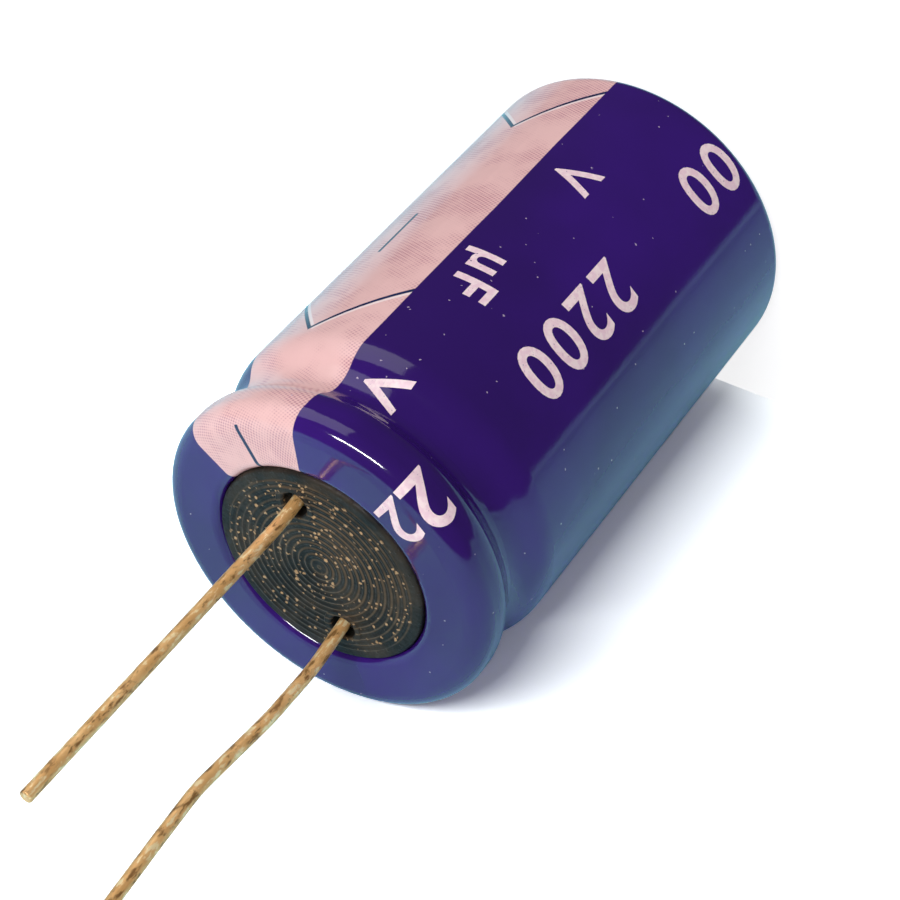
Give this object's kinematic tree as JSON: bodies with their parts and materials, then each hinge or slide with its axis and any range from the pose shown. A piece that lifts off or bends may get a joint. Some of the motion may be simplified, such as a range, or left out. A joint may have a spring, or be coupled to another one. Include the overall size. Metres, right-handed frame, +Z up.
{
  "type": "electrolytic capacitor",
  "caption": "Radial-lead aluminium electrolytic capacitor: sleeved can with a rolled groove, black rubber end seal and two wire leads for through-hole soldering.",
  "frame": {"origin": "centre of the sleeve's ring on the closed end, on which the part stands", "axes": "+Z up the can towards the leads; the leads lie on the X axis, cathode at +X and anode at -X"},
  "size_m": [0.0254, 0.0254, 0.0746],
  "materials": {
    "sleeve": "purple printed shrink sleeve with a pale pink stripe",
    "aluminium_can": "drawn, satin",
    "black_rubber": "moulded with turning marks, dusty",
    "lead_wire": "tarnished gold-coloured tin plating on steel wire",
    "tab_aluminium": "bright drawn",
    "winding_paper": "electrolyte-soaked separator paper and etched foil",
    "tape": "clear amber polypropylene tape"
  },
  "bodies": {
    "root": {"sleeve": "sleeve", "can": "aluminium_can", "rubber_seal": "black_rubber", "cathode_lead_wire": "lead_wire", "anode_lead_wire": "lead_wire", "cathode_tab": "tab_aluminium", "anode_tab": "tab_aluminium", "foil_winding": "winding_paper", "winding_tape": "tape"}
  },
  "joints": []
}
